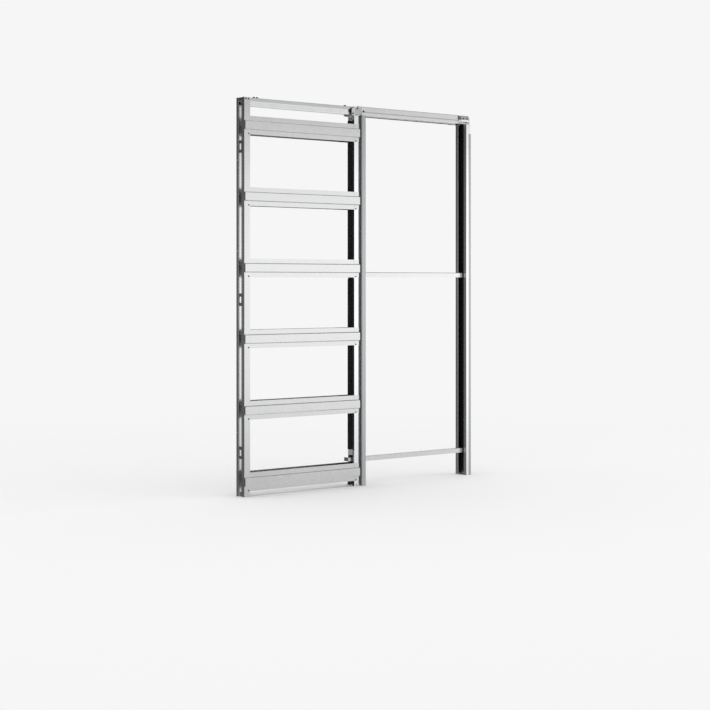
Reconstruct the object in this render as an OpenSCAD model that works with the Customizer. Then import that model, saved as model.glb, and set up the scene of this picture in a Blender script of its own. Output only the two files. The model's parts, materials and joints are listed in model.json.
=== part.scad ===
// Pocket door frame for a stud wall: a steel cassette that swallows a sliding
// door, beside the doorway that the door closes.
// The origin is on the floor, under the middle of the frame.
// X runs along the wall from the end post to the strike post, Y goes through
// the wall with the front face at minus Y, and Z is up.

/* [Doorway and pocket] */
// Clear width between the mouth jamb and the strike post
passage_w = 800; // [600:10:1000]
// Length of the pocket, from the end face to the mouth posts
pocket_l = 781; // [700:1:1000]
// Height of the uprights above the floor
post_h = 2195; // [2000:5:2400]
// Height of the header, from the doorway's top to the uprights' top
header_h = 50; // [49:1:60]
// Depth of the uprights through the wall
post_depth = 75; // [72:1:84]
// Depth of the finished wall, over the jambs and rails
wall_depth = 100; // [96:1:120]
// Clear slot between the two halves of the mouth
slot_w = 50; // [48:1:54]

/* [Sheet steel] */
// Thickness of the folded steel
steel_t = 1.5; // [1:0.1:2]
// Inside radius of every fold
fold_r = 1.5; // [0.8:0.1:2]

/* [End post] */
// Width of the flange that carries the rails
end_flange_w = 42; // [36:1:60]
// Width of the web on the end face, each half
end_web_w = 19; // [17:0.5:22]
// Length of the folded lips
end_lip = 9.5; // [7:0.5:12]
// Height of a bridging bracket between the halves
bracket_h = 70; // [50:1:90]
// Depth of a bridging bracket along the wall
bracket_d = 20; // [12:1:28]
// Height of the lowest bridging bracket's middle
bracket_z = 240; // [200:5:320]
// Distance from the highest bridging bracket's middle to the uprights' top
bracket_top_gap = 271; // [200:1:340]
// Width of a bridging bracket's window
window_w = 17; // [10:1:22]
// Height of a bridging bracket's window
window_h = 34; // [20:1:44]
// Height of the bracket that closes the end post's head
head_bracket_h = 22; // [14:1:23]

/* [Mouth] */
// Width of the front mouth post's flange
mouth_front_w = 35; // [30:1:45]
// Width of the back mouth post's flange
mouth_back_w = 20; // [16:1:30]
// Width of the groove beside the jamb that the wall board's edge meets
groove_w = 12; // [8:0.5:16]
// Width of the jamb's face
jamb_w = 34; // [28:1:45]
// Width of the jamb's inner lip
jamb_lip = 14; // [8:1:18]
// Outer radius of the jamb's folds
jamb_r = 6; // [3:0.5:9]
// Thickness of the rubber lining in the mouth
lining_t = 3; // [2:0.5:3.5]

/* [Rails] */
// Height of the lowest rail's lower edge
rail_z = 31; // [25:1:60]
// Distance from the top rail's upper edge to the uprights' top
rail_top_gap = 102; // [90:1:130]
// Height of a rail's screw flange
rail_flange_h = 27.5; // [22:0.5:32]
// Height of a rail's raised face
rail_hat_h = 47; // [38:1:60]
// Distance of the back rails' ends from the end face
back_rail_gap = 12; // [0:1:30]

/* [Header] */
// Height of the steel carrier above the track
carrier_h = 18; // [14:1:22]
// Height of the aluminium track
track_h = 28; // [26:1:28]
// Wall of the aluminium track
track_t = 2.5; // [2:0.1:3]
// Width of the slot that the door hangers run in
track_slot = 14; // [10:1:20]
// Radius of the grooves along the track's sides
track_groove_r = 1; // [0.5:0.1:1.2]
// Height of the narrow neck on top of the track
neck_h = 3; // [2:0.5:4]
// How far the neck is set in from the track's sides
neck_in = 3; // [2:0.5:5]
// Height of the fascia's lower, prouder band
fascia_band_h = 17; // [12:1:24]
// Height of the joggle over the fascia's band
fascia_joggle_h = 6; // [4:0.5:10]
// Width of the fascia's folded bottom lip
fascia_lip = 11; // [6:1:14]
// Width of the fascia's leg on top of the carrier
fascia_top_leg = 38; // [30:1:45]
// Length of the corner cap over the strike post
cap_l = 106; // [80:1:140]
// Outer radius of the cap's upright corners
cap_r = 14; // [4:1:20]
// Width of the notch in the cap's upper corner beside the fascia
cap_notch_w = 8; // [4:1:14]
// Height of the notch in the cap's upper corner
cap_notch_h = 26; // [10:1:34]
// How far the junction plate laps from the mouth post into the pocket
junction_lap = 18; // [10:1:30]
// Size of the junction plate's cut corners
junction_cut = 10; // [4:1:16]
// Gap between the junction plate and the uprights' top
junction_gap = 6; // [2:1:12]
// How far the junction plate drops below the doorway's top
junction_drop = 4; // [0:1:12]
// Distance of the head plates' ends inside the mouth
head_plate_in = 10; // [2:1:14]
// How far the head plates hang below the doorway's top
head_plate_drop = 27; // [10:1:40]
// Gap between the head plates and the uprights' top
head_plate_gap = 2; // [1:0.5:8]
// Diameter of the bolts that hold the track
track_bolt_d = 8; // [6:0.5:8]
// Width across the track bolts' nuts
track_nut_w = 13; // [10:0.5:15]
// Height of the track bolts' nuts
track_nut_h = 7; // [4:0.5:8]
// Length of bolt that stands out of a nut
track_bolt_out = 1.5; // [0.5:0.5:4]
// Gap between the end post and the first track bolt
end_bolt_gap = 51; // [12:1:60]
// Step between the pair of track bolts at the end post
end_bolt_step = 21; // [18:1:30]
// Distance of the pocket's track bolt from the mouth
pocket_bolt_gap = 38; // [30:1:120]
// Distance of the mouth's track bolt from the mouth
mouth_bolt_gap = 61; // [50:1:80]

/* [Strike post] */
// Width of the strike post along the wall
strike_w = 34; // [28:1:50]
// Clear gap between the strike post's lips
strike_gap = 50; // [44:1:54]
// Length of the small return on each lip
strike_return = 6; // [4:0.5:9]
// How far the edge bead stands past the post
bead_w = 5; // [4:0.5:8]
// Gap between the edge beads and the header
bead_gap = 57; // [5:1:200]
// Depth of the edge bead's outer face
bead_turn = 10; // [7:0.5:16]
// Length of the edge bead's leg on the post's web
bead_back = 16; // [8:1:24]
// Width of the edge bead's leg on the post's face
bead_leg = 12; // [8:1:16]
// Height of the upper keeper slot's middle
keeper_high_z = 1262; // [1200:1:1300]
// Width of the upper keeper slot
keeper_high_w = 56; // [30:1:70]
// Height of the upper keeper slot
keeper_high_h = 27; // [15:1:40]
// Height of the lower keeper slot's middle
keeper_low_z = 1082; // [1000:1:1150]
// Width of the lower keeper slot
keeper_low_w = 36; // [20:1:60]
// Height of the lower keeper slot
keeper_low_h = 31; // [15:1:40]

/* [Spacers] */
// Height of a spacer bar
spacer_h = 28; // [20:1:34]
// Depth of a spacer bar
spacer_d = 38; // [30:1:40]
// Height of the low spacer's middle
spacer_low_z = 151; // [120:1:180]
// Height of the middle spacer's middle
spacer_mid_z = 1223; // [900:1:1400]
// How far a spacer's narrow tongue reaches into the pocket
tongue_l = 28; // [15:1:45]
// Height cut away from a spacer's lower edges along its tongue
tongue_cut = 7; // [4:0.5:12]
// Distance of the spacer clips inside the mouth
clip_in = 9; // [2:1:16]
// Height of a spacer clip
clip_h = 48; // [40:1:56]
// Radius of a spacer clip's corners
clip_r = 12; // [4:1:18]
// Height of the holding plate above a spacer clip
plate_up = 32; // [20:1:50]
// Clearance between a spacer bar and its clip
clip_fit = 0.3; // [0.1:0.05:0.5]

/* [Fixings] */
// Diameter of the screw holes in the posts
screw_d = 5.5; // [4:0.1:7]
// Diameter of the floor and ceiling fixing holes
anchor_d = 8.5; // [6:0.1:11]
// Height of the lowest screw hole in the posts
screw_z = 350; // [330:5:380]
// Distance from the highest screw hole to the uprights' top
screw_top_gap = 345; // [300:5:420]
// Number of screw holes up a post
screw_count = 4; // [2:1:8]
// Thickness of the floor plates
foot_t = 2; // [1.5:0.1:3]
// Height of the floor plates' upright leg
foot_leg = 25; // [15:1:40]
// Length of the end foot along the wall
end_foot_l = 25; // [18:1:29]
// Width of the mouth posts' floor tabs
mouth_foot_w = 20; // [14:1:30]
// Height of the mouth posts' floor tabs
mouth_foot_h = 14; // [8:1:24]

/* [Hidden] */
passage_h = post_h - header_h;
post_y = post_depth / 2;
wall_y = wall_depth / 2;
slot_y = slot_w / 2;
x_mouth = pocket_l;
x_groove = x_mouth + mouth_front_w;
x_jamb = x_groove + groove_w;
x_passage = x_jamb + jamb_w;
x_strike = x_passage + passage_w;
x_strike_out = x_strike + strike_w;
overall_w = x_strike_out + bead_w;
x_cap = x_strike_out - cap_l;
rail_h = 2 * rail_flange_h + rail_hat_h;
carrier_z = post_h - carrier_h;
track_z = carrier_z - track_h;
mid = steel_t / 2;
bend_steps = 3;
rail_count = 6;
end_web_y = post_y - end_web_w;
rail_step = (post_h - rail_top_gap - rail_h - rail_z) / (rail_count - 1);
bracket_step = (post_h - bracket_top_gap - bracket_z) / 2;
screw_step = (post_h - screw_top_gap - screw_z) / (screw_count - 1);
screw_y = post_y - end_web_w / 2;
bead_h = passage_h - bead_gap;
track_bolt_gap = 0.5;
first_bolt_x = end_flange_w + end_bolt_gap;
track_bolt_xs = [
    first_bolt_x, first_bolt_x + end_bolt_step,
    x_mouth - pocket_bolt_gap, x_mouth + mouth_bolt_gap
];
mouth_foot_gap = 0.5;

// Unit vector along v
function unit(v) = v / norm(v);

// The vector turned a quarter turn to the left
function left(v) = [-v.y, v.x];

// Angle from direction u to direction v, left turns positive
function turn(u, v) = atan2(u.x * v.y - u.y * v.x, u * v);

// One side of the fold at corner p between a and b, side 1 left and -1 right
function fold_arc(a, p, b, side, inner_r) =
    let (
        u = unit(p - a),
        th = turn(u, unit(b - p)),
        s = sign(th),
        r = inner_r + mid,
        steps = max(bend_steps, ceil(r / 2)),
        centre = p - u * r * tan(abs(th) / 2) + s * r * left(u),
        start = -s * left(u),
        a0 = atan2(start.y, start.x)
    )
    [for (i = [0:steps])
        centre + (r - s * side * mid) * [cos(a0 + th * i / steps), sin(a0 + th * i / steps)]];

// One side of a folded sheet whose middle line is the path
function sheet_side(path, side, inner_r = fold_r) =
    let (n = len(path) - 1)
    concat(
        [path[0] + side * mid * left(unit(path[1] - path[0]))],
        [for (k = [1:1:n - 1]) each fold_arc(path[k - 1], path[k], path[k + 1], side, inner_r)],
        [path[n] + side * mid * left(unit(path[n] - path[n - 1]))]
    );

// The list read backwards
function backwards(list) = [for (i = [len(list) - 1:-1:0]) list[i]];

// Section of a folded sheet whose middle line is the path
module folded(path, inner_r = fold_r) {
    polygon(concat(sheet_side(path, 1, inner_r), backwards(sheet_side(path, -1, inner_r))));
}

// Section in the Y Z plane carried along X
module along_x(x0, x1) {
    translate([x0 - overall_w / 2, 0, 0])
        rotate([90, 0, 90])
            linear_extrude(x1 - x0)
                children();
}

// Section in the X Z plane carried along Y
module along_y(y0, y1) {
    translate([-overall_w / 2, y1, 0])
        rotate([90, 0, 0])
            linear_extrude(y1 - y0)
                children();
}

// Section in plan carried upwards
module along_z(z0, z1) {
    translate([-overall_w / 2, 0, z0])
        linear_extrude(z1 - z0)
            children();
}

// The same piece on the back half of the frame
module on_back() {
    mirror([0, 1, 0])
        children();
}

// Plan of half an end post, the front half
module end_post_plan() {
    folded([
        [end_lip, -end_web_y - mid],
        [mid, -end_web_y - mid],
        [mid, mid - post_y],
        [end_flange_w - mid, mid - post_y],
        [end_flange_w - mid, end_lip - post_y]
    ]);
}

// Row of round holes through a web that faces along X
module web_holes(x0, x1, y, d) {
    for (i = [0:screw_count - 1])
        translate([x0 - overall_w / 2, y, screw_z + i * screw_step])
            rotate([0, 90, 0])
                cylinder(h = x1 - x0, d = d, $fn = 24);
}

module end_post() {
    color("gainsboro")
        difference() {
            along_z(0, post_h)
                end_post_plan();
            web_holes(-1, steel_t + 1, -screw_y, screw_d);
        }
}

// Folded bracket that bridges the halves of the end post
module end_bracket(z) {
    color("silver")
        difference() {
            along_y(-end_web_y, end_web_y)
                folded([
                    [bracket_d, z - bracket_h / 2 + mid],
                    [steel_t + mid, z - bracket_h / 2 + mid],
                    [steel_t + mid, z + bracket_h / 2 - mid],
                    [bracket_d, z + bracket_h / 2 - mid]
                ]);
            translate([0, 0, z])
                along_x(0, 3 * steel_t)
                    rounded(window_w, window_h, window_w / 4);
        }
}

// Bracket that closes the end post's head over the open end of the track's channel
module end_bracket_top() {
    z0 = post_h - head_bracket_h;
    color("silver")
        along_y(-end_web_y, end_web_y)
            folded([
                [end_lip, z0 + mid],
                [steel_t + mid, z0 + mid],
                [steel_t + mid, post_h - mid],
                [end_lip, post_h - mid]
            ]);
}

// Rectangle with round corners about its middle
module rounded(w, h, r) {
    for (s = [-1, 1])
        square([w - (1 + s) * r, h - (1 - s) * r], center = true);
    for (sx = [-1, 1], sy = [-1, 1])
        translate([sx * (w / 2 - r), sy * (h / 2 - r)])
            circle(r = r, $fn = 24);
}

// Half a mouth post, a shallow channel whose flange carries the rails
module mouth_post(flange_w) {
    leg = -(slot_y + steel_t);
    color("whitesmoke")
        along_z(0, post_h)
            folded([
                [x_groove - flange_w + mid, leg],
                [x_groove - flange_w + mid, mid - post_y],
                [x_groove - mid, mid - post_y],
                [x_groove - mid, leg]
            ]);
}

// Half a mouth jamb: a lap behind the mouth post, then a deep channel
module mouth_jamb(flange_w) {
    lap = -(slot_y + mid);
    color("darkgray")
        along_z(0, passage_h)
            folded([
                [x_groove - flange_w, lap],
                [x_jamb + mid, lap],
                [x_jamb + mid, mid - wall_y],
                [x_passage - mid, mid - wall_y],
                [x_passage - mid, lap],
                [x_passage - jamb_lip, lap]
            ], jamb_r - steel_t);
}

// Rubber lining of half the mouth, broken at the spacers, up to the head plates
module mouth_lining(flange_w) {
    breaks = [
        for (z = [spacer_low_z, spacer_mid_z])
            [z - clip_h / 2, z + clip_h / 2 + plate_up]
    ];
    starts = [foot_t, breaks[0][1], breaks[1][1]];
    ends = [breaks[0][0], breaks[1][0], passage_h - head_plate_drop];
    color("black")
        for (i = [0:2])
            along_z(starts[i], ends[i])
                translate([x_groove - flange_w, -slot_y])
                    square([x_passage - x_groove + flange_w, lining_t]);
}

// Hat section of a rail with its lower edge at height 0
module rail_section() {
    flange_y = -(post_y + mid);
    hat_y = mid - wall_y;
    folded([
        [flange_y, 0],
        [flange_y, rail_flange_h],
        [hat_y, rail_flange_h],
        [hat_y, rail_flange_h + rail_hat_h],
        [flange_y, rail_flange_h + rail_hat_h],
        [flange_y, rail_h]
    ]);
}

module rail(i, x0) {
    color("lightgray")
        translate([0, 0, rail_z + (i - 1) * rail_step])
            along_x(x0, x_groove)
                rail_section();
}

// Folded steel channel that carries the track, open downwards
module header_carrier() {
    side = slot_y - mid;
    color("silver")
        difference() {
            along_x(end_lip, x_strike_out - steel_t)
                folded([
                    [-side, carrier_z],
                    [-side, post_h - mid],
                    [side, post_h - mid],
                    [side, carrier_z]
                ]);
            track_bolt_rods(track_bolt_d + track_bolt_gap, carrier_z, post_h + 1);
        }
}

// Upright rods at the places of the track bolts
module track_bolt_rods(d, z0, z1) {
    for (x = track_bolt_xs)
        translate([x - overall_w / 2, 0, z0])
            cylinder(h = z1 - z0, d = d, $fn = 24);
}

// Bolts that hold the track under the carrier, with their nuts on top
module track_bolts() {
    color("dimgray") {
        track_bolt_rods(track_bolt_d, carrier_z, post_h + track_nut_h + track_bolt_out);
        for (x = track_bolt_xs)
            translate([x - overall_w / 2, 0, post_h])
                cylinder(h = track_nut_h, d = track_nut_w / cos(30), $fn = 6);
    }
}

// Section of the aluminium track, open downwards, with a narrow neck on top
module track_section() {
    body_h = track_h - neck_h;
    neck_y = slot_y - neck_in;
    difference() {
        union() {
            translate([-slot_y, 0])
                square([slot_w, body_h]);
            translate([-neck_y, 0])
                square([2 * neck_y, track_h]);
        }
        translate([track_t - slot_y, 2 * track_t])
            square([slot_w - 2 * track_t, body_h - 3 * track_t]);
        translate([track_t - neck_y, 2 * track_t])
            square([2 * (neck_y - track_t), track_h - 3 * track_t]);
        translate([-track_slot / 2, -1])
            square([track_slot, 2 * track_t + 2]);
        for (s = [-1, 1], z = [body_h / 3, 2 * body_h / 3])
            translate([s * slot_y, z])
                circle(r = track_groove_r, $fn = 16);
    }
}

module running_track() {
    color("white")
        translate([0, 0, track_z])
            along_x(end_lip, x_strike_out - steel_t)
                track_section();
}

// Fascia over the doorway: a joggled face, a bottom lip and a top leg
module header_fascia() {
    step_y = wall_y - steel_t;
    color("whitesmoke")
        along_x(x_jamb, x_cap)
            folded([
                [fascia_lip - wall_y, passage_h + mid],
                [mid - wall_y, passage_h + mid],
                [mid - wall_y, passage_h + fascia_band_h],
                [mid - step_y, passage_h + fascia_band_h + fascia_joggle_h],
                [mid - step_y, post_h + mid],
                [fascia_top_leg - wall_y, post_h + mid]
            ]);
}

// Corner cap over the strike post, a skirt with wide bends under a flat top
module header_corner_cap() {
    side = wall_y - steel_t - mid;
    path = [
        [x_cap, -side],
        [x_strike_out - mid, -side],
        [x_strike_out - mid, side],
        [x_cap, side]
    ];
    inner_r = cap_r - steel_t;
    color("whitesmoke") {
        difference() {
            along_z(passage_h, post_h)
                folded(path, inner_r);
            along_y(-wall_y - 1, wall_y + 1)
                translate([x_cap - 1, post_h - cap_notch_h])
                    square([cap_notch_w + 1, cap_notch_h + 1]);
        }
        along_z(post_h, post_h + steel_t)
            polygon(sheet_side(path, -1, inner_r));
    }
}

// Plate with cut corners that ties the mouth post to the header
module header_junction() {
    x0 = x_mouth - junction_lap;
    x1 = x_jamb;
    z0 = passage_h - junction_drop;
    z1 = post_h - junction_gap;
    cut = junction_cut;
    color("silver")
        along_y(-post_y - steel_t, -post_y)
            polygon([
                [x0 + cut, z0],
                [x1 - cut, z0],
                [x1, z0 + cut],
                [x1, z1 - cut],
                [x1 - cut, z1],
                [x0 + cut, z1],
                [x0, z1 - cut],
                [x0, z0 + cut]
            ]);
}

// Joggled plates that tie the jambs' laps to the header's sides
module mouth_head_plates() {
    z0 = passage_h - head_plate_drop;
    z1 = post_h - head_plate_gap;
    color("white")
        for (side = [0, 1])
            mirror([0, side, 0])
                along_x(x_mouth + head_plate_in, x_groove)
                    polygon([
                        [-slot_y, z0],
                        [steel_t - slot_y, z0],
                        [steel_t - slot_y, track_z],
                        [-slot_y, track_z],
                        [-slot_y, z1],
                        [-slot_y - steel_t, z1],
                        [-slot_y - steel_t, passage_h],
                        [-slot_y, passage_h]
                    ]);
}

// Lipped channel that the closed door meets
module strike_post() {
    y_out = wall_y - steel_t - mid;
    lip = strike_gap / 2 + mid;
    color("whitesmoke")
        difference() {
            along_z(0, passage_h)
                folded([
                    [x_strike + strike_return, -lip],
                    [x_strike + mid, -lip],
                    [x_strike + mid, -y_out],
                    [x_strike_out - mid, -y_out],
                    [x_strike_out - mid, y_out],
                    [x_strike + mid, y_out],
                    [x_strike + mid, lip],
                    [x_strike + strike_return, lip]
                ]);
            web_holes(x_strike_out - steel_t - 1, x_strike_out + 1, 0, screw_d);
            keeper_slot(keeper_low_z, keeper_low_w, keeper_low_h);
            keeper_slot(keeper_high_z, keeper_high_w, keeper_high_h);
        }
}

// Slot through the strike post's web for a lock keeper
module keeper_slot(z, w, h) {
    translate([0, 0, z])
        along_x(x_strike_out - steel_t - 1, x_strike_out + 1)
            square([w, h], center = true);
}

// Folded bead along the strike post's outer edge
module strike_bead() {
    face_y = mid - wall_y;
    turn_y = face_y + bead_turn;
    color("silver")
        along_z(0, bead_h)
            folded([
                [x_strike_out - bead_leg, face_y],
                [overall_w - mid, face_y],
                [overall_w - mid, turn_y],
                [x_strike_out + mid, turn_y + bead_w],
                [x_strike_out + mid, turn_y + bead_w + bead_back]
            ]);
}

// Inverted channel that keeps the doorway's width, with a closed tongue at the mouth
module spacer_bar(z) {
    side = spacer_d / 2 - mid;
    x0 = x_mouth - tongue_l;
    z0 = z - spacer_h / 2;
    color("whitesmoke")
        difference() {
            union() {
                translate([0, 0, z0])
                    along_x(x0, x_strike_out - steel_t)
                        folded([
                            [-side, 0],
                            [-side, spacer_h - mid],
                            [side, spacer_h - mid],
                            [side, 0]
                        ]);
                along_x(x0, x0 + steel_t)
                    translate([-side, z0])
                        square([2 * side, spacer_h - mid]);
            }
            along_x(x0 - 1, x_groove)
                translate([-spacer_d, z0 - 1])
                    square([2 * spacer_d, tongue_cut + 1]);
        }
}

// Plastic clip between the mouth's jambs that a spacer's tongue passes through
module spacer_clip(z) {
    color("black")
        along_x(x_mouth + clip_in, x_groove)
            translate([0, z])
                difference() {
                    rounded(slot_w, clip_h, clip_r);
                    translate([-spacer_d / 2 - clip_fit, tongue_cut - spacer_h / 2])
                        square([spacer_d + 2 * clip_fit, spacer_h - tongue_cut + clip_fit]);
                }
}

// Plates above a spacer clip on the inside of the mouth
module spacer_plates(z) {
    color("gainsboro")
        for (side = [0, 1])
            mirror([0, side, 0])
                along_x(x_mouth + clip_in, x_groove)
                    translate([-slot_y, z + clip_h / 2])
                        square([steel_t, plate_up]);
}

// Angle that fixes the end post to the floor
module end_foot() {
    x0 = end_lip;
    x1 = x0 + end_foot_l;
    y_in = post_y - steel_t;
    color("silver")
        difference() {
            union() {
                along_z(0, foot_t)
                    translate([x0, -y_in])
                        square([x1 - x0, 2 * y_in]);
                along_z(0, foot_leg)
                    translate([x0, -y_in])
                        square([foot_t, 2 * y_in]);
            }
            translate([(x0 + x1 + foot_t - overall_w) / 2, 0, -1])
                cylinder(h = foot_t + 2, d = anchor_d, $fn = 32);
        }
}

// Tabs that fix the mouth posts to the floor
module mouth_feet() {
    w = mouth_foot_w;
    x0 = x_groove - w - mouth_foot_gap;
    color("silver")
        for (side = [0, 1])
            mirror([0, side, 0])
                difference() {
                    union() {
                        along_z(0, foot_t)
                            translate([x0, -wall_y])
                                square([w, wall_y - post_y]);
                        along_z(0, mouth_foot_h)
                            translate([x0, -post_y - foot_t])
                                square([w, foot_t]);
                    }
                    translate([x0 + w / 2 - overall_w / 2, -(wall_y + post_y + foot_t) / 2, -1])
                        cylinder(h = foot_t + 2, d = screw_d, $fn = 24);
                }
}

// Angle that fixes the strike post to the floor
module strike_foot() {
    x0 = x_strike + steel_t;
    x1 = x_strike_out - steel_t;
    y_in = strike_gap / 2;
    color("silver")
        difference() {
            union() {
                along_z(0, foot_t)
                    translate([x0, -y_in])
                        square([x1 - x0, 2 * y_in]);
                along_z(0, foot_leg)
                    translate([x1 - foot_t, -y_in])
                        square([foot_t, 2 * y_in]);
            }
            translate([(x0 + x1 - foot_t - overall_w) / 2, 0, -1])
                cylinder(h = foot_t + 2, d = anchor_d, $fn = 32);
        }
}

end_post();  // end_post_front
on_back() end_post();  // end_post_back
end_bracket(bracket_z);  // end_bracket_low
end_bracket(bracket_z + bracket_step);  // end_bracket_mid
end_bracket(bracket_z + 2 * bracket_step);  // end_bracket_high
end_bracket_top();
mouth_post(mouth_front_w);  // mouth_post_front
on_back() mouth_post(mouth_back_w);  // mouth_post_back
mouth_jamb(mouth_front_w);  // mouth_jamb_front
on_back() mouth_jamb(mouth_back_w);  // mouth_jamb_back
mouth_lining(mouth_front_w);  // mouth_lining_front
on_back() mouth_lining(mouth_back_w);  // mouth_lining_back
for (i = [1:rail_count]) {
    rail(i, 0);
    on_back() rail(i, back_rail_gap);
}
header_carrier();
running_track();
header_fascia();  // header_fascia_front
on_back() header_fascia();  // header_fascia_back
header_corner_cap();
header_junction();  // header_junction_front
on_back() header_junction();  // header_junction_back
mouth_head_plates();
track_bolts();
strike_post();
strike_bead();  // strike_bead_front
on_back() strike_bead();  // strike_bead_back
spacer_bar(spacer_low_z);  // spacer_bar_low
spacer_bar(spacer_mid_z);  // spacer_bar_mid
spacer_clip(spacer_low_z);  // spacer_clip_low
spacer_clip(spacer_mid_z);  // spacer_clip_mid
spacer_plates(spacer_low_z);  // spacer_plates_low
spacer_plates(spacer_mid_z);  // spacer_plates_mid
end_foot();
mouth_feet();
strike_foot();
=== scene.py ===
"""Looks for the pocket door frame: sheet finishes, screws and bolts, the ribbed rubber
lining, the pressed corner cap, and a plain pale studio."""

import json
import math

import bmesh
import bpy
import numpy as np
from bpy.props import FloatProperty, FloatVectorProperty, IntProperty, PointerProperty
from bpy.types import Operator, Panel, PropertyGroup
from mathutils import Euler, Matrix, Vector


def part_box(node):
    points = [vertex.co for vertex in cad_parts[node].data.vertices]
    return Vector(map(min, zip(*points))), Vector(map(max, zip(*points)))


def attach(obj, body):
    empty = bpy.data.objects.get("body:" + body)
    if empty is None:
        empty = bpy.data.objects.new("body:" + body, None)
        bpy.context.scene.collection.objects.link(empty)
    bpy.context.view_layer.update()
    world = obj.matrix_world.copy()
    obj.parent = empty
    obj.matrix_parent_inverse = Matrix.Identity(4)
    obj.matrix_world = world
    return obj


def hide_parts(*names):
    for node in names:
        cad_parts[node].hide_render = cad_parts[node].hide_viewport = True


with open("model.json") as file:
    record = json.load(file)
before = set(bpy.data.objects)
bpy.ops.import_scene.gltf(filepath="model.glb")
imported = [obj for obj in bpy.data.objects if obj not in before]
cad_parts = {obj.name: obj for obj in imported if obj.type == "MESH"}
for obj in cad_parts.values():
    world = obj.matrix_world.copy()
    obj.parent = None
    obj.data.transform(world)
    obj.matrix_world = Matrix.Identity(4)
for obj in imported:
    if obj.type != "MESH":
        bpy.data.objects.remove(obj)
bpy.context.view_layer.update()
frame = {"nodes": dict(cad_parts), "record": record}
NODES = frame["nodes"]
MM = 0.001
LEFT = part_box("end_post_front")[0].x

# Sheet that is brighter than the rails: the posts beside the doorway
BRIGHT_SHEET = ("mouth_post", "strike_post")

bl_info = {
    "name": "Pocket door frame",
    "version": (1, 0, 0),
    "blender": (4, 5, 0),
    "location": "View3D > Sidebar > Door frame",
    "description": "Finishes, fixings, lining, cap and studio for a pocket door frame",
    "category": "Object",
}


def linear(code):
    """Turns an sRGB hex colour into linear red, green, blue and alpha."""
    srgb = [int(code[i : i + 2], 16) / 255 for i in (1, 3, 5)]
    rgb = [c / 12.92 if c <= 0.04045 else ((c + 0.055) / 1.055) ** 2.4 for c in srgb]
    return (*rgb, 1.0)


def add_node(tree, kind, settings=None, links=None):
    """Adds a shader node, sets its properties or unlinked sockets, and links its inputs."""
    made = tree.nodes.new(kind)
    for key, value in (settings or {}).items():
        if isinstance(key, str) and hasattr(made, key):
            setattr(made, key, value)
        else:
            made.inputs[key].default_value = value
    for key, socket in (links or {}).items():
        tree.links.new(socket, made.inputs[key])
    return made


# Surfaces


def surface(name, points, faces, closed=True, smooth_angle=0):
    """Makes a mesh object from arrays of points in metres and of faces. Doubled points are
    merged, and the faces of a closed one are turned outwards. Edges under smooth_angle
    degrees are shaded smooth."""
    mesh = bpy.data.meshes.new(name)
    mesh.from_pydata(points.tolist(), [], [list(f) for f in faces])
    work = bmesh.new()
    work.from_mesh(mesh)
    bmesh.ops.remove_doubles(work, verts=work.verts, dist=0.01 * MM)
    if closed:
        bmesh.ops.recalc_face_normals(work, faces=work.faces)
    work.to_mesh(mesh)
    work.free()
    mesh.polygons.foreach_set("use_smooth", np.full(len(mesh.polygons), smooth_angle > 0))
    if smooth_angle:
        mesh.set_sharp_from_angle(angle=math.radians(smooth_angle))
    mesh.update()
    made = bpy.data.objects.new(name, mesh)
    bpy.context.scene.collection.objects.link(made)
    return made


def grid_faces(columns, rows, around=False):
    """Quads of a grid whose point (j, i) is number j * rows + i, closed round if asked."""
    j, i = np.meshgrid(
        np.arange(columns if around else columns - 1), np.arange(rows - 1), indexing="ij"
    )
    k = (j + 1) % columns
    quads = np.stack([j * rows + i, k * rows + i, k * rows + i + 1, j * rows + i + 1], axis=-1)
    return quads.reshape(-1, 4)


def turned(profile, sides):
    """Surface of revolution about Z: column j of the grid is the profile's points (r, z) at
    angle 2 pi j / sides, so x = r cos a and y = r sin a. It runs from axis to axis."""
    r, z = np.asarray(profile, float).T
    a = np.arange(sides) * 2 * np.pi / sides
    x, y = np.outer(np.cos(a), r), np.outer(np.sin(a), r)
    points = np.stack([x, y, np.tile(z, (sides, 1))], axis=-1)
    return points.reshape(-1, 3), grid_faces(sides, len(r), around=True)


def turned_to(points, axis):
    """Turns points so that their Z points along axis, one of the six row directions."""
    n = np.asarray(axis, float)
    u = np.array([0.0, 1.0, 0.0]) if abs(n[0]) > 0.5 else np.array([1.0, 0.0, 0.0])
    return points @ np.stack([u, np.cross(n, u), n])


def copies(points, faces, places, axis):
    """The same surface set down at each place, as whole arrays, facing along axis."""
    base = turned_to(points, axis)
    spots = np.asarray(places, float)
    every = (base[None] + spots[:, None]).reshape(-1, 3)
    step = (np.arange(len(spots)) * len(points))[:, None, None]
    return every, (faces[None] + step).reshape(-1, faces.shape[1])


def swept(section, path):
    """A closed section carried along a straight path: ring j is the section moved to path[j].
    The ends are closed with one face each."""
    section, path = np.asarray(section, float), np.asarray(path, float)
    n, m = len(section), len(path)
    points = (path[None] + section[:, None]).reshape(-1, 3)
    faces = grid_faces(n, m, around=True).tolist()
    faces.append([q * m for q in range(n)])
    faces.append([q * m + m - 1 for q in range(n)])
    return points, faces


def rounded_section(w, h, r, steps=4):
    """Rectangle w by h with quarter circles of radius r at its corners, as points (a, b)."""
    t = np.linspace(0, np.pi / 2, steps + 1)
    corners = []
    for k, (sa, sb) in enumerate(((1, 1), (-1, 1), (-1, -1), (1, -1))):
        angle = t + k * np.pi / 2
        across = sa * (w / 2 - r) + r * np.cos(angle)
        up = sb * (h / 2 - r) + r * np.sin(angle)
        corners.append(np.stack([across, up], axis=-1))
    return np.vstack(corners)


# Materials


def material(name):
    """A new node material: the material, its tree and its output node."""
    made = bpy.data.materials.new(name)
    made.use_nodes = True
    tree = made.node_tree
    tree.nodes.clear()
    return made, tree, tree.nodes.new("ShaderNodeOutputMaterial")


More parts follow.
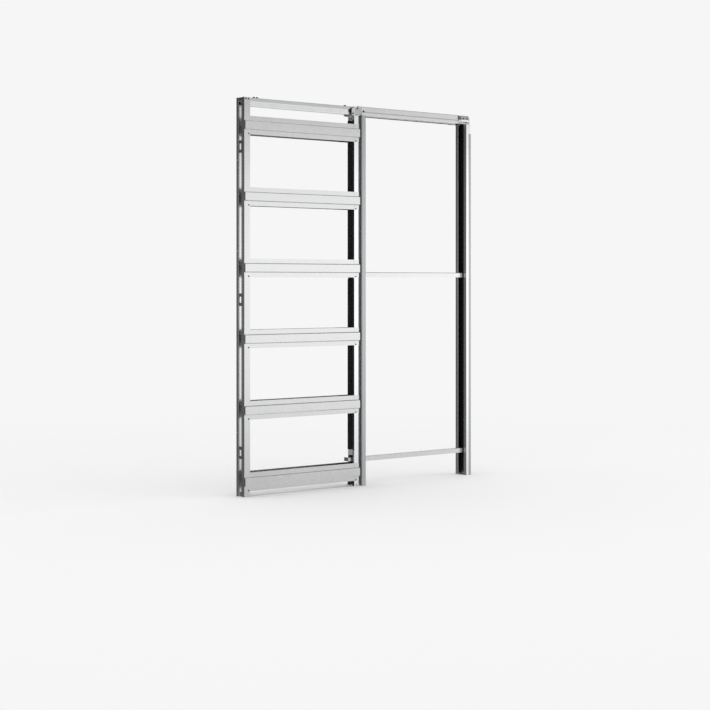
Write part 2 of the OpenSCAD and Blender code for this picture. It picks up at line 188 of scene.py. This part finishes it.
def coordinates(tree, scale=(1, 1, 1)):
    """Object coordinates in metres, stretched by scale so that a pattern has its real size."""
    at = add_node(tree, "ShaderNodeTexCoord")
    return add_node(
        tree, "ShaderNodeMapping", {"Scale": scale}, {"Vector": at.outputs["Object"]}
    ).outputs["Vector"]


def rolled_zinc(name, pale, deep, rough, spangle_mm, line_mm):
    """Zinc-coated sheet: crystals of spangle_mm tint it, and rolling leaves fine lines, whose
    length along X, Y and Z is line_mm."""
    made, tree, out = material(name)
    cells = add_node(
        tree, "ShaderNodeTexVoronoi", {"Scale": 1000 / spangle_mm}, {"Vector": coordinates(tree)}
    )
    crystal = add_node(
        tree, "ShaderNodeSeparateColor", {}, {"Color": cells.outputs["Color"]}
    )
    drift = add_node(
        tree,
        "ShaderNodeTexNoise",
        {"Scale": 6.0, "Detail": 4.0, "Roughness": 0.6},
        {"Vector": coordinates(tree)},
    )
    lines = add_node(
        tree,
        "ShaderNodeTexNoise",
        {"Scale": 1.0, "Detail": 2.0, "Roughness": 0.5},
        {"Vector": coordinates(tree, tuple(1000 / mm for mm in line_mm))},
    )
    cloud = add_node(
        tree,
        "ShaderNodeMath",
        {"operation": "MULTIPLY_ADD", 1: 0.35},
        {0: crystal.outputs["Red"], 2: drift.outputs["Fac"]},
    )
    blend = add_node(
        tree,
        "ShaderNodeMath",
        {"operation": "MULTIPLY_ADD", 1: 0.3, "use_clamp": True},
        {0: lines.outputs["Fac"], 2: cloud.outputs["Value"]},
    )
    tint = add_node(
        tree,
        "ShaderNodeMix",
        {"data_type": "RGBA", "clamp_factor": True},
        {"Factor": blend.outputs["Value"]},
    )
    tint.inputs["A"].default_value = linear(deep)
    tint.inputs["B"].default_value = linear(pale)
    sheen = add_node(
        tree,
        "ShaderNodeMapRange",
        {"From Min": 0.3, "From Max": 1.0, "To Min": rough - 0.02, "To Max": rough + 0.03},
        {"Value": blend.outputs["Value"]},
    )
    bump = add_node(
        tree,
        "ShaderNodeBump",
        {"Strength": 0.05, "Distance": 0.1 * MM},
        {"Height": lines.outputs["Fac"]},
    )
    shader = add_node(
        tree,
        "ShaderNodeBsdfPrincipled",
        {"Metallic": 1.0},
        {
            "Base Color": tint.outputs["Result"],
            "Roughness": sheen.outputs["Result"],
            "Normal": bump.outputs["Normal"],
        },
    )
    tree.links.new(shader.outputs["BSDF"], out.inputs["Surface"])
    return made


def moulded(name, pale, deep, rough, grit_mm, depth, metallic=0.0):
    """Moulded or plated surface: a fine grit of grit_mm and a slight drift of tone."""
    made, tree, out = material(name)
    grit = add_node(
        tree,
        "ShaderNodeTexNoise",
        {"Scale": 1000 / grit_mm, "Detail": 2.0, "Roughness": 0.6},
        {"Vector": coordinates(tree)},
    )
    drift = add_node(
        tree,
        "ShaderNodeTexNoise",
        {"Scale": 25.0, "Detail": 3.0},
        {"Vector": coordinates(tree)},
    )
    tint = add_node(
        tree,
        "ShaderNodeMix",
        {"data_type": "RGBA", "clamp_factor": True},
        {"Factor": drift.outputs["Fac"]},
    )
    tint.inputs["A"].default_value = linear(deep)
    tint.inputs["B"].default_value = linear(pale)
    bump = add_node(
        tree,
        "ShaderNodeBump",
        {"Strength": 0.3, "Distance": depth},
        {"Height": grit.outputs["Fac"]},
    )
    shader = add_node(
        tree,
        "ShaderNodeBsdfPrincipled",
        {"Metallic": metallic, "Roughness": rough},
        {"Base Color": tint.outputs["Result"], "Normal": bump.outputs["Normal"]},
    )
    tree.links.new(shader.outputs["BSDF"], out.inputs["Surface"])
    return made


def make_finishes(finish):
    """One material for each finish of the frame."""
    silky, dull = finish.zinc_rough, finish.jamb_rough
    # Widths of the crystals, and lengths of the fine lines along X, Y and Z, in mm
    open_mm, pressed_mm, mill_mm = 12, 6, 30
    level, upright, die_lines = (60, 60, 3), (3, 3, 60), (90, 2, 2)
    return {
        # Hot-dip zinc on cold-rolled strip: a silky mirror with faint crystals, a little grey.
        "zinc_steel": rolled_zinc(
            "zinc_coated_steel", "#CCCDCC", "#C0C2C1", silky, open_mm, level
        ),
        # The header's sheet is of another coil, a little lighter.
        "header_zinc": rolled_zinc(
            "header_zinc_steel", "#D6D7D6", "#CBCDCC", silky, open_mm, level
        ),
        # The same sheet with a brighter, freshly rolled skin.
        "bright_zinc": rolled_zinc(
            "bright_zinc_steel", "#E4E5E5", "#DADCDC", silky, open_mm, upright
        ),
        # Skin-passed zinc: the crystals are pressed flat, which leaves it greyer and duller.
        "jamb_steel": rolled_zinc(
            "skin_passed_zinc", "#ADAFB1", "#A1A3A5", dull, pressed_mm, upright
        ),
        # The same grey skin, a touch darker on the narrow beads: painted shade for the shade on their
        # rounded bends.
        "bead_painted_shade": rolled_zinc(
            "bead_painted_shade_zinc", "#ABADAF", "#A0A2A4", dull, pressed_mm, upright
        ),
        # Small plates with a milky passivated coat, more matt than the sheet.
        "pale_plate": moulded("passivated_zinc", "#EDEDED", "#DCDDDD", 0.45, 0.8, 0.02 * MM, 0.2),
        # Extruded aluminium, mill finish: die lines run the length of the track.
        "track_aluminium": rolled_zinc(
            "mill_aluminium", "#E9EAEB", "#E0E1E3", 0.24, mill_mm, die_lines
        ),
        # Extruded rubber with a dull, faintly chalky skin. The black sheet inside the strike post
        # takes it too, as painted shade.
        "rubber_lining": moulded("extruded_rubber_and_painted_shade", "#141415", "#0C0C0D", 0.7, 1.2, 0.1 * MM),
        # Injection-moulded nylon with a spark-eroded texture.
        "clip_plastic": moulded("moulded_nylon", "#0F0F10", "#0A0A0B", 0.6, 0.9, 0.04 * MM),
        # Dark zinc-plated fasteners.
        "bolt_steel": moulded("dark_plated_steel", "#5A5C5F", "#47494C", 0.38, 0.8, 0.03 * MM, 1.0),
        # Black phosphate on drywall screws and socket bolts, an oily near-black.
        "black_screw": moulded("black_phosphate", "#101011", "#0A0A0B", 0.6, 0.6, 0.03 * MM),
    }


FINISHES = {}


def finish(piece, name):
    """Gives a piece one of the finishes."""
    piece.data.materials.clear()
    piece.data.materials.append(FINISHES[name])


def fix(piece, name):
    """Finishes a new piece and lets it ride on the frame."""
    finish(piece, name)
    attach(piece, "root")
    return piece


# Settings


class FrameSizes(PropertyGroup):
    """Sizes of the fixings, the lining and the cap's upper band."""

    rail_screw_d: FloatProperty(
        name="Rail screw", description="Diameter of a rail screw's head", default=8 * MM,
        min=4 * MM, max=10 * MM, unit="LENGTH", subtype="DISTANCE",
    )
    cap_screw_d: FloatProperty(
        name="Cap screw", description="Diameter of a screw head on the corner cap",
        default=9.5 * MM, min=4 * MM, max=11 * MM, unit="LENGTH", subtype="DISTANCE",
    )
    bolt_w: FloatProperty(
        name="Junction bolt", description="Width across flats of a junction bolt",
        default=8 * MM, min=6 * MM, max=12 * MM, unit="LENGTH", subtype="DISTANCE",
    )
    rib_pitch: FloatProperty(
        name="Rib pitch", description="Distance from one rib of the rubber lining to the next",
        default=6 * MM, min=3 * MM, max=12 * MM, unit="LENGTH", subtype="DISTANCE",
    )
    lean: FloatProperty(
        name="Cap lean", description="How far the corner cap's upper band leans in at its top",
        default=5 * MM, min=0.5 * MM, max=10 * MM, unit="LENGTH", subtype="DISTANCE",
    )
    sides: IntProperty(
        name="Sides", description="Faces round a screw head", default=24, min=8, max=64
    )


class FrameFinish(PropertyGroup):
    """How glossy the sheet is, and the studio's tone."""

    zinc_rough: FloatProperty(
        name="Zinc roughness", description="Roughness of the bright zinc-coated sheet",
        default=0.2, min=0.05, max=0.8, subtype="FACTOR",
    )
    jamb_rough: FloatProperty(
        name="Jamb roughness", description="Roughness of the duller jamb sheet",
        default=0.32, min=0.05, max=0.9, subtype="FACTOR",
    )
    floor_colour: FloatVectorProperty(
        name="Floor", description="Colour of the studio floor", subtype="COLOR", size=4,
        default=linear("#F6F6F6"), min=0, max=1,
    )
    card_glow: FloatProperty(
        name="Card glow", description="Strength of the brightest part of the reflected studio",
        default=1.5, min=0.2, max=2.5,
    )


# Pieces


class FRAME_OT_finishes(Operator):
    """Give each part of the frame the finish of its real material"""

    bl_idname = "door_frame.finishes"
    bl_label = "Finishes"

    def execute(self, context):
        FINISHES.update(make_finishes(context.scene.frame_finish))
        slots = {s["node"]: s["material_slot"] for s in frame["record"]["subparts"]}
        for name, piece in NODES.items():
            kind = slots[name]
            if name.startswith(BRIGHT_SHEET):
                kind = "bright_zinc"
            if name.startswith("header_fascia"):
                kind = "header_zinc"
            if name.startswith(("mouth_head_plates", "spacer_plates")):
                kind = "pale_plate"
            # The beads take the grey that paints the shade on their bends.
            if name.startswith("strike_bead"):
                kind = "bead_painted_shade"
            finish(piece, kind)
        return {"FINISHED"}


def pan_head(d, h):
    """Profile of a pan-head screw with a round recess, from the sheet to the recess's floor."""
    r = d / 2
    t = np.linspace(0, np.pi / 2, 5)
    dome = [(0.72 * r + 0.28 * r * math.cos(a), h * (0.45 + 0.55 * math.sin(a))) for a in t]
    return [(0, 0), (r, 0), *dome, (0.34 * r, h), (0.26 * r, 0.45 * h), (0, 0.4 * h)]


def hex_head(w, h):
    """Profile of a hexagon head, for six sides, with its top edge broken."""
    r = w / 2 / math.cos(math.pi / 6)
    return [(0, 0), (r, 0), (r, 0.82 * h), (0.86 * r, h), (0, h)]


def washer(d, h):
    """Profile of a plain washer with a rounded upper edge."""
    r = d / 2
    return [(0, 0), (r, 0), (r, 0.7 * h), (r - 0.3 * h, h), (0, h)]


def heads(name, profile, sides, places, axis, colour, smooth_angle=40):
    """Like heads turned from one profile, at the places, as one piece."""
    points, faces = turned(profile, sides)
    piece = surface(name, *copies(points, faces, places, axis), smooth_angle=smooth_angle)
    return fix(piece, colour)


def depth_of(node, facing):
    """Y of a node's outermost face on the side that facing points to, -1 front or 1 back."""
    lo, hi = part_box(node)
    return hi.y if facing > 0 else lo.y


SIDES = (("front", -1), ("back", 1))


class FRAME_OT_rail_screws(Operator):
    """Screw each rail's lower flange to the end post and the mouth post"""

    bl_idname = "door_frame.rail_screws"
    bl_label = "Rail screws"

    def execute(self, context):
        sizes = context.scene.frame_sizes
        in_from_edge, over_edge, sheet, head_h = 12 * MM, 4.5 * MM, 1.5 * MM, 2.2 * MM
        for side, facing in SIDES:
            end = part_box(f"end_post_{side}")[1].x - in_from_edge
            mouth_lo, mouth_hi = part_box(f"mouth_post_{side}")
            mouth = min(mouth_lo.x + in_from_edge, (mouth_lo.x + mouth_hi.x) / 2)
            y = depth_of(f"end_post_{side}", facing) + facing * sheet
            rails = sorted(name for name in NODES if name.startswith(f"{side}_rail"))
            places = [(x, y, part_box(rail)[0].z + over_edge) for rail in rails for x in (end, mouth)]
            heads(
                f"rail_screws_{side}", pan_head(sizes.rail_screw_d, head_h), sizes.sides, places,
                (0, facing, 0), "black_screw",
            )
        return {"FINISHED"}


class FRAME_OT_lining(Operator):
    """Make the ribbed rubber lining of the mouth"""

    bl_idname = "door_frame.lining"
    bl_label = "Rubber lining"

    def execute(self, context):
        pitch = context.scene.frame_sizes.rib_pitch
        flap, skin = 14 * MM, 0.8 * MM
        for side, facing in SIDES:
            node = f"mouth_lining_{side}"
            lo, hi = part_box(node)
            base = lo.y if facing < 0 else hi.y
            width, depth = hi.x - lo.x, hi.y - lo.y
            ribs = round(width / pitch)
            x = np.linspace(0, width, 8 * ribs + 1)
            # Depth of the strip at x: half its thickness, and a round rib on every pitch
            rise = depth * (0.55 + 0.45 * np.abs(np.sin(np.pi * ribs * x / width)))
            # The skin behind it, and the flap that wraps the post's leg on the pocket side
            back = [[width, 0], [0, 0], [0, -flap], [-skin, -flap], [-skin, rise[0]]]
            outline = np.vstack([np.stack([x, rise], axis=-1), back])
            section = np.stack(
                [lo.x + outline[:, 0], base - facing * outline[:, 1], 0 * outline[:, 0]], axis=-1
            )
            heights = np.unique([round(v.co.z, 5) for v in NODES[node].data.vertices])
            points, faces, count = [], [], 0
            for z0, z1 in heights.reshape(-1, 2):
                p, f = swept(section, [(0, 0, z0), (0, 0, z1)])
                points.append(p)
                faces += [[q + count for q in face] for face in f]
                count += len(p)
            piece = surface(f"ribbed_lining_{side}", np.vstack(points), faces, smooth_angle=50)
            fix(piece, "rubber_lining")
            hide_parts(node)
        return {"FINISHED"}


class FRAME_OT_corner_cap(Operator):
    """Press the corner cap over the strike post, with a leaning upper band and a notch"""

    bl_idname = "door_frame.corner_cap"
    bl_label = "Corner cap"

    def execute(self, context):
        lean = context.scene.frame_sizes.lean
        lo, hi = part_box("header_corner_cap")
        corner, notch_w, notch_h, sheet = 14 * MM, 8 * MM, 26 * MM, 1.5 * MM
        brow, edge = 22 * MM, 3 * MM
        half = hi.y
        # Rows: how far each is set in from the outline, and its height. The wall is upright up
        # to the brow, leans in above it, and ends in a round edge and the flat top.
        t = np.linspace(0, np.pi / 2, 9)
        inset = np.concatenate([[0, 0, 0], lean + edge * (1 - np.cos(t)), [half]])
        height = np.concatenate(
            [[lo.z, hi.z - notch_h, hi.z - brow], hi.z - edge + edge * np.sin(t), [hi.z]]
        )
        # Columns: along the front, round two corners and back again
        s = np.array([0, notch_w / (hi.x - corner - lo.x), 0.5, 1])
        a = np.linspace(0, np.pi / 2, 9)
        reach = np.maximum(corner, inset)[:, None]
        radius = np.maximum(corner - inset, 0)[:, None]
        run = hi.x - reach - lo.x
        x = np.hstack([
            lo.x + run * s,
            hi.x - reach + radius * np.sin(a),
            hi.x - reach + radius * np.cos(a),
            lo.x + run * s[::-1],
        ])
        flat = np.ones_like(s) * (half - inset[:, None])
        turn = half - reach
        y = np.hstack([-flat, -turn - radius * np.cos(a), turn + radius * np.sin(a), flat])
        z = np.ones_like(x) * height[:, None]
        rows, columns = x.shape
        points = np.stack([x.T, y.T, z.T], axis=-1).reshape(-1, 3)
        faces = grid_faces(columns, rows)
        column, row = faces[:, 0] // rows, faces[:, 0] % rows
        notch = ((column == 0) | (column == columns - 2)) & (row >= 1)
        piece = surface("pressed_corner_cap", points, faces[~notch], closed=False, smooth_angle=40)
        wall = piece.modifiers.new("sheet", "SOLIDIFY")
        wall.thickness, wall.offset = sheet, -1
        fix(piece, "zinc_steel")
        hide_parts("header_corner_cap")
        return {"FINISHED"}


def at(place, y):
    """The point at place, x and z mm from the frame's left end and the floor, and y metres."""
    x, z = place
    return (LEFT + x * MM, y, z * MM)


class FRAME_OT_header_fixings(Operator):
    """Bolt the header's junction plates, and screw the cap, the head plates and the post"""

    bl_idname = "door_frame.header_fixings"
    bl_label = "Header fixings"

    def execute(self, context):
        sizes = context.scene.frame_sizes
        flat_h, low_h, proud_h = 1.4 * MM, 2.4 * MM, 3.5 * MM
        rivet_d, plate_screw_d, fascia_bolt_d = 5 * MM, 9 * MM, 14 * MM
        washer_d, washer_h = 18 * MM, 0.5 * MM
        # The upper junction bolt stands on the leaning plate, the cap's screws are sunk in it,
        # and the head plates' inner faces stand off from the middle of the frame.
        lift, sunk, plates_y, sheet = 3.2 * MM, 1 * MM, 23.5 * MM, 1.5 * MM
        # Places x and z in mm, from the frame's left end and the floor
        low_bolt, high_bolt = (772, 2155), (802, 2183)
        rivets = ((786, 2146), (799, 2146), (820, 2172))
        lean_start, lean_end = 788, 829
        tongue = ((790, 2150), (806, 2146), (829, 2152), (829, 2195), (806, 2194), (790, 2189))
        washer_at, fascia_bolt_at = (846, 2172), (844, 2169)
        cap_screws = ((1613, 2179), (1640, 2178), (1660, 2155), (1669, 2178))
        post_screws = ((12, 2186), (29, 2186))
        plate_screws = ((798, 2129), (811, 2129))
        for side, facing in SIDES:
            axis = (0, facing, 0)
            plate = depth_of(f"header_junction_{side}", facing)
            face = depth_of("header_corner_cap", facing)
            post = depth_of(f"end_post_{side}", facing)
            heads(
                f"junction_bolts_{side}", hex_head(sizes.bolt_w, proud_h), 6,
                [at(low_bolt, plate), at(high_bolt, plate + facing * lift)], axis,
                "black_screw", 0,
            )
            heads(
                f"junction_rivets_{side}", pan_head(rivet_d, flat_h), sizes.sides,
                [at(place, plate) for place in rivets], axis, "bolt_steel",
            )
            # A plate that leans out from the junction plate to the end of the fascia
            slope = (face - plate) / (lean_end - lean_start)
            section = [at(place, plate + slope * (place[0] - lean_start)) for place in tongue]
            folded = swept(section, [(0, 0, 0), (0, -facing * sheet, 0)])
            fix(surface(f"fascia_tongue_{side}", *folded), "zinc_steel")
            heads(
                f"fascia_washer_{side}", washer(washer_d, washer_h), sizes.sides,
                [at(washer_at, face)], axis, "bright_zinc",
            )
            heads(
                f"fascia_bolt_{side}", pan_head(fascia_bolt_d, flat_h), sizes.sides,
                [at(fascia_bolt_at, face)], axis, "black_screw",
            )
            heads(
                f"cap_screws_{side}", pan_head(sizes.cap_screw_d, low_h), sizes.sides,
                [at(place, face - facing * sunk) for place in cap_screws], axis, "black_screw",
            )
            heads(
                f"post_head_screws_{side}", pan_head(sizes.rail_screw_d, proud_h), sizes.sides,
                [at(place, post) for place in post_screws], axis, "black_screw",
            )
            heads(
                f"head_plate_screws_{side}", pan_head(plate_screw_d, flat_h), sizes.sides,
                [at(place, facing * plates_y) for place in plate_screws], (0, -facing, 0),
                "bolt_steel",
            )
        return {"FINISHED"}


class FRAME_OT_black_parts(Operator):
    """Fit the black stop on the track's front side, and a black sheet inside the strike post that
    paints the shade of its recess
    """

    bl_idname = "door_frame.black_parts"
    bl_label = "Stop and strike shade sheet"

    def execute(self, context):
        length, height, depth, edge = 20 * MM, 9 * MM, 6 * MM, 1.2 * MM
        from_mouth, middle_z, sunk = 20 * MM, 2168.5 * MM, 0.5 * MM
        x1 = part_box("mouth_post_front")[0].x - from_mouth + length / 2
        outline = rounded_section(depth, height, edge)
        y = depth_of("running_track", -1) - depth / 2 + sunk
        section = np.stack(
            [0 * outline[:, 0], y + outline[:, 0], middle_z + outline[:, 1]], axis=-1
        )
        stop = swept(section, [(x1 - length, 0, 0), (x1, 0, 0)])
        fix(surface("track_stop", *stop, smooth_angle=50), "clip_plastic")

        # A thin black sheet along the web and both flanges, inside the strike post: painted shade for
        # its dark recess
        lo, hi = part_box("strike_post")
        sheet, skin, lip, foot_gap = 1.5 * MM, 0.8 * MM, 4 * MM, 3 * MM
        x0, x1, y1 = lo.x + sheet + lip, hi.x - sheet, hi.y - sheet
        outer = [(x0, -y1), (x1, -y1), (x1, y1), (x0, y1)]
        inner = [(x0, y1 - skin), (x1 - skin, y1 - skin), (x1 - skin, skin - y1), (x0, skin - y1)]
        section = [(px, py, 0) for px, py in outer + inner]
        lining = swept(section, [(0, 0, lo.z + foot_gap), (0, 0, hi.z)])
        # The rubber finish here is painted shade, not a lining the post has.
        fix(surface("strike_painted_shade_sheet", *lining), "rubber_lining")
        return {"FINISHED"}


class FRAME_OT_stage(Operator):
    """Set up the floor, the reflected studio, the lamps, the backdrop and the camera"""

    bl_idname = "door_frame.stage"
    bl_label = "Studio"

    def execute(self, context):
        looks = context.scene.frame_finish
        make_floor(looks.floor_colour)
        make_drum(looks.card_glow)
        make_lights()
        make_world()
        make_camera()
        context.scene.view_settings.view_transform = "Standard"
        return {"FINISHED"}


# Studio


def make_floor(colour):
    """A round pale floor just under the frame, which fades into the backdrop further out."""
    fade_from, fade_to, rim, gap = 2.5, 6.0, 7.0, 0.5 * MM
    points, faces = turned([(0, 0), (fade_from, 0), (rim, 0)], 96)
    floor = surface("studio_floor", points - np.array([0, 0, gap]), faces)
    made, tree, out = material("studio_floor")
    place = add_node(tree, "ShaderNodeTexCoord")
    reach = add_node(
        tree, "ShaderNodeVectorMath", {"operation": "LENGTH"}, {0: place.outputs["Object"]}
    )
    fade = add_node(
        tree,
        "ShaderNodeMapRange",
        {"interpolation_type": "SMOOTHERSTEP", "From Min": fade_from, "From Max": fade_to},
        {"Value": reach.outputs["Value"]},
    )
    matt = add_node(
        tree,
        "ShaderNodeBsdfPrincipled",
        {"Base Color": tuple(colour), "Roughness": 0.6, "Specular IOR Level": 0.0},
    )
    clear = add_node(tree, "ShaderNodeBsdfTransparent")
    mix = add_node(tree, "ShaderNodeMixShader", {}, {"Fac": fade.outputs["Result"]})
    tree.links.new(matt.outputs["BSDF"], mix.inputs[1])
    tree.links.new(clear.outputs["BSDF"], mix.inputs[2])
    tree.links.new(mix.outputs["Shader"], out.inputs["Surface"])
    floor.data.materials.append(made)
    floor.visible_glossy = False


def studio_glow(azimuth, z):
    """Tone of the reflected studio: the stops round the frame, interpolated, times a soft step
    down to top_tone at the ceiling's height, times a slight square falloff under eye level. The
    frame sees it bright from the front to the right, middling elsewhere, and dark behind on the
    left, where a black flag hangs down to flag_foot."""
    flag_foot, flag_fade, under_tone = -0.9, 1.2, 0.6
    ceiling, softness, top_tone = 2.8, 0.25, 0.36
    eye, reach, falloff = 1.3, 2.8, 0.08
    # Azimuth in degrees from the front, towards +X, and its tone
    stops = {
        -10: 0.5, 15: 0.85, 25: 1.0, 41: 1.0, 48: 1.1, 68: 1.1, 82: 0.4, 116: 0.3, 130: 0.72,
        165: 0.72, 178: 0.45, 188: 0.12, 212: 0.095, 235: 0.095, 252: 0.14, 275: 0.3, 300: 0.45,
        350: 0.5,
    }
    around = np.interp((azimuth + 10) % 360 - 10, list(stops), list(stops.values()))
    under_flag = np.clip((flag_foot - z) / flag_fade, 0, 1)
    around = around + under_flag * np.maximum(0, under_tone - around)
    upper = top_tone + (1 - top_tone) / (1 + np.exp((z - ceiling) / softness))
    lower = 1 - falloff * np.clip(eye - z, 0, reach) ** 2
    return around * upper * lower


def make_drum(glow):
    """A wide drum round the frame, seen only in gloss. Column j stands at azimuth 2 j degrees
    from the front, towards +X, and its rows rise from under the floor, fine ones first and
    coarse ones above them: x = r sin a and y = -r cos a."""
    radius, foot, middle, top = 9.0, -4.5, 4.5, 14.0
    azimuth = np.arange(0, 360, 2.0)
    z = np.concatenate([np.linspace(foot, middle, 61), np.linspace(middle + 0.5, top, 10)])
    a, zz = np.meshgrid(azimuth, z, indexing="ij")
    x, y = radius * np.sin(np.radians(a)), -radius * np.cos(np.radians(a))
    points = np.stack([x, y, zz], axis=-1).reshape(-1, 3)
    drum = surface("reflected_studio", points, grid_faces(len(azimuth), len(z), True), closed=False)
    tone = drum.data.attributes.new("glow", "FLOAT", "POINT")
    tone.data.foreach_set("value", studio_glow(a, zz).astype(np.float32).ravel())
    made, tree, out = material("reflected_studio")
    read = add_node(tree, "ShaderNodeAttribute", {"attribute_name": "glow"})
    level = add_node(
        tree, "ShaderNodeMath", {"operation": "MULTIPLY", 1: glow}, {0: read.outputs["Fac"]}
    )
    shine = add_node(tree, "ShaderNodeEmission", {}, {"Strength": level.outputs["Value"]})
    tree.links.new(shine.outputs["Emission"], out.inputs["Surface"])
    drum.data.materials.append(made)
    drum.visible_camera = False
    drum.visible_diffuse = False
    drum.visible_shadow = False
    drum.visible_transmission = False


def lamp(name, spot, aim, size, watts):
    """A soft square lamp at spot, turned to aim."""
    data = bpy.data.lights.new(name, "AREA")
    data.size, data.energy = size, watts
    made = bpy.data.objects.new(name, data)
    made.location = spot
    back = np.asarray(spot, float) - np.asarray(aim, float)
    yaw = math.atan2(back[0], -back[1])
    pitch = math.atan2(math.hypot(back[0], back[1]), back[2])
    made.rotation_euler = Euler((pitch, 0, yaw))
    bpy.context.scene.collection.objects.link(made)
    made.visible_glossy = False


def make_lights():
    """A weak soft lamp over the front right and a weaker one over the left."""
    aim, size = (0, 0, 0.9), 3.0
    lamp("key_lamp", (3.2, -4.2, 4.6), aim, size, 15)
    lamp("fill_lamp", (-4.5, -3.0, 4.0), aim, size, 7)


def make_world():
    """A plain pale backdrop: F6F6F6 to the camera and in gloss, and an even soft light."""
    world = bpy.data.worlds.new("studio")
    bpy.context.scene.world = world
    world.use_nodes = True
    tree = world.node_tree
    tree.nodes.clear()
    path = add_node(tree, "ShaderNodeLightPath")
    seen = add_node(
        tree,
        "ShaderNodeMath",
        {"operation": "MAXIMUM"},
        {0: path.outputs["Is Camera Ray"], 1: path.outputs["Is Glossy Ray"]},
    )
    seen = add_node(
        tree,
        "ShaderNodeMath",
        {"operation": "MAXIMUM"},
        {0: seen.outputs["Value"], 1: path.outputs["Is Transmission Ray"]},
    )
    soft = add_node(tree, "ShaderNodeBackground", {"Color": linear("#FFFFFF"), "Strength": 0.98})
    plain = add_node(tree, "ShaderNodeBackground", {"Color": linear("#F6F6F6"), "Strength": 1.0})
    mix = add_node(tree, "ShaderNodeMixShader", {}, {"Fac": seen.outputs["Value"]})
    tree.links.new(soft.outputs["Background"], mix.inputs[1])
    tree.links.new(plain.outputs["Background"], mix.inputs[2])
    out = add_node(tree, "ShaderNodeOutputWorld")
    tree.links.new(mix.outputs["Shader"], out.inputs["Surface"])


def make_camera():
    """A level camera at the front left; its shift puts the horizon above the middle."""
    data = bpy.data.cameras.new("camera")
    data.sensor_width = 36.0
    data.lens = 83.5
    data.shift_y = -0.1006
    data.clip_end = 100.0
    made = bpy.data.objects.new("camera", data)
    made.location = (-6.1325, -7.375, 1.171)
    made.rotation_euler = Euler((math.radians(90), 0, math.radians(-39.6)))
    bpy.context.scene.collection.objects.link(made)
    bpy.context.scene.camera = made


class FRAME_PT_panel(Panel):
    """Sidebar panel with the frame's settings and steps"""

    bl_idname = "FRAME_PT_panel"
    bl_label = "Pocket door frame"
    bl_space_type = "VIEW_3D"
    bl_region_type = "UI"
    bl_category = "Door frame"

    def draw(self, context):
        for group in (context.scene.frame_sizes, context.scene.frame_finish):
            for key in group.__annotations__:
                self.layout.prop(group, key)
        for step in STEPS:
            self.layout.operator(step.bl_idname)


STEPS = (
    FRAME_OT_finishes,
    FRAME_OT_rail_screws,
    FRAME_OT_lining,
    FRAME_OT_corner_cap,
    FRAME_OT_header_fixings,
    FRAME_OT_black_parts,
    FRAME_OT_stage,
)
CLASSES = (FrameSizes, FrameFinish, *STEPS, FRAME_PT_panel)


def register():
    """Register the classes and their settings."""
    for c in CLASSES:
        bpy.utils.register_class(c)
    bpy.types.Scene.frame_sizes = PointerProperty(type=FrameSizes)
    bpy.types.Scene.frame_finish = PointerProperty(type=FrameFinish)


def unregister():
    """Remove the settings and the classes."""
    del bpy.types.Scene.frame_finish
    del bpy.types.Scene.frame_sizes
    for c in reversed(CLASSES):
        bpy.utils.unregister_class(c)


def main():
    register()
    for step in STEPS:
        group, name = step.bl_idname.split(".")
        getattr(getattr(bpy.ops, group), name)()


if __name__ == "__main__":
    main()
